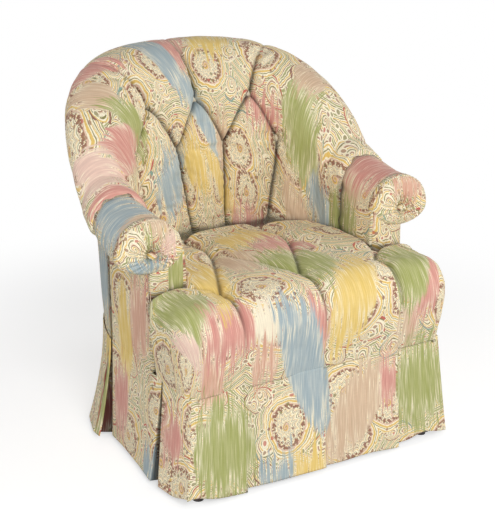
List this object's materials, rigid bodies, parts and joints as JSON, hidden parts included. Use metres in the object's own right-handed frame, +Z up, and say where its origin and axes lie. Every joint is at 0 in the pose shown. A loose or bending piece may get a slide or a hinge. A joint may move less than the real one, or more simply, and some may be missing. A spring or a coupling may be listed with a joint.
{
  "type": "club chair",
  "caption": "Upholstered club chair with a button-tufted barrel back, rolled arms gathered at the ends, a T-shaped tufted seat and a pleated skirt to the floor.",
  "frame": {"origin": "on the floor under the middle of the chair's overall box", "axes": "+Z up, -Y towards the front of the chair, +X to the right of someone facing it"},
  "size_m": [0.804, 0.779, 0.854],
  "materials": {
    "print_fabric": "printed cotton with paisley and brushed colour patches on cream",
    "frame_wood": "sanded, unfinished hardwood",
    "leg_wood": "dark stain, satin",
    "steel": "bright drawn steel",
    "glide_plastic": "matte black",
    "jute": "plain woven jute",
    "black_cambric": "thin black cambric",
    "padding": "soft padding"
  },
  "bodies": {
    "root": {"arm_rosettes": "print_fabric", "back_buttons": "print_fabric", "back_skirt": "print_fabric", "back_tacking_rail": "frame_wood", "back_top_rail": "frame_wood", "back_uprights": "frame_wood", "back_webbing": "jute", "corner_block_screws": "steel", "corner_blocks": "frame_wood", "deck_pad": "padding", "dust_cover": "black_cambric", "frame_dowels": "frame_wood", "front_left_leg": "leg_wood", "front_right_leg": "leg_wood", "front_seat_rail": "frame_wood", "front_skirt": "print_fabric", "inside_back": "print_fabric", "left_arm_cover": "print_fabric", "left_arm_facing": "print_fabric", "left_arm_gather": "print_fabric", "left_arm_post": "frame_wood", "left_arm_rail": "frame_wood", "left_arm_tacking_rail": "frame_wood", "left_outside_arm": "print_fabric", "left_seat_rail": "frame_wood", "left_skirt": "print_fabric", "left_wing_post": "frame_wood", "leg_bolts": "steel", "leg_glides": "glide_plastic", "outside_back": "print_fabric", "rear_left_leg": "leg_wood", "rear_right_leg": "leg_wood", "rear_seat_rail": "frame_wood", "right_arm_cover": "print_fabric", "right_arm_facing": "print_fabric", "right_arm_gather": "print_fabric", "right_arm_post": "frame_wood", "right_arm_rail": "frame_wood", "right_arm_tacking_rail": "frame_wood", "right_outside_arm": "print_fabric", "right_seat_rail": "frame_wood", "right_skirt": "print_fabric", "right_wing_post": "frame_wood", "seat_burlap": "jute", "seat_buttons": "print_fabric", "seat_cover": "print_fabric", "seat_foam": "padding", "seat_springs": "steel", "spring_clips": "steel"}
  },
  "joints": []
}
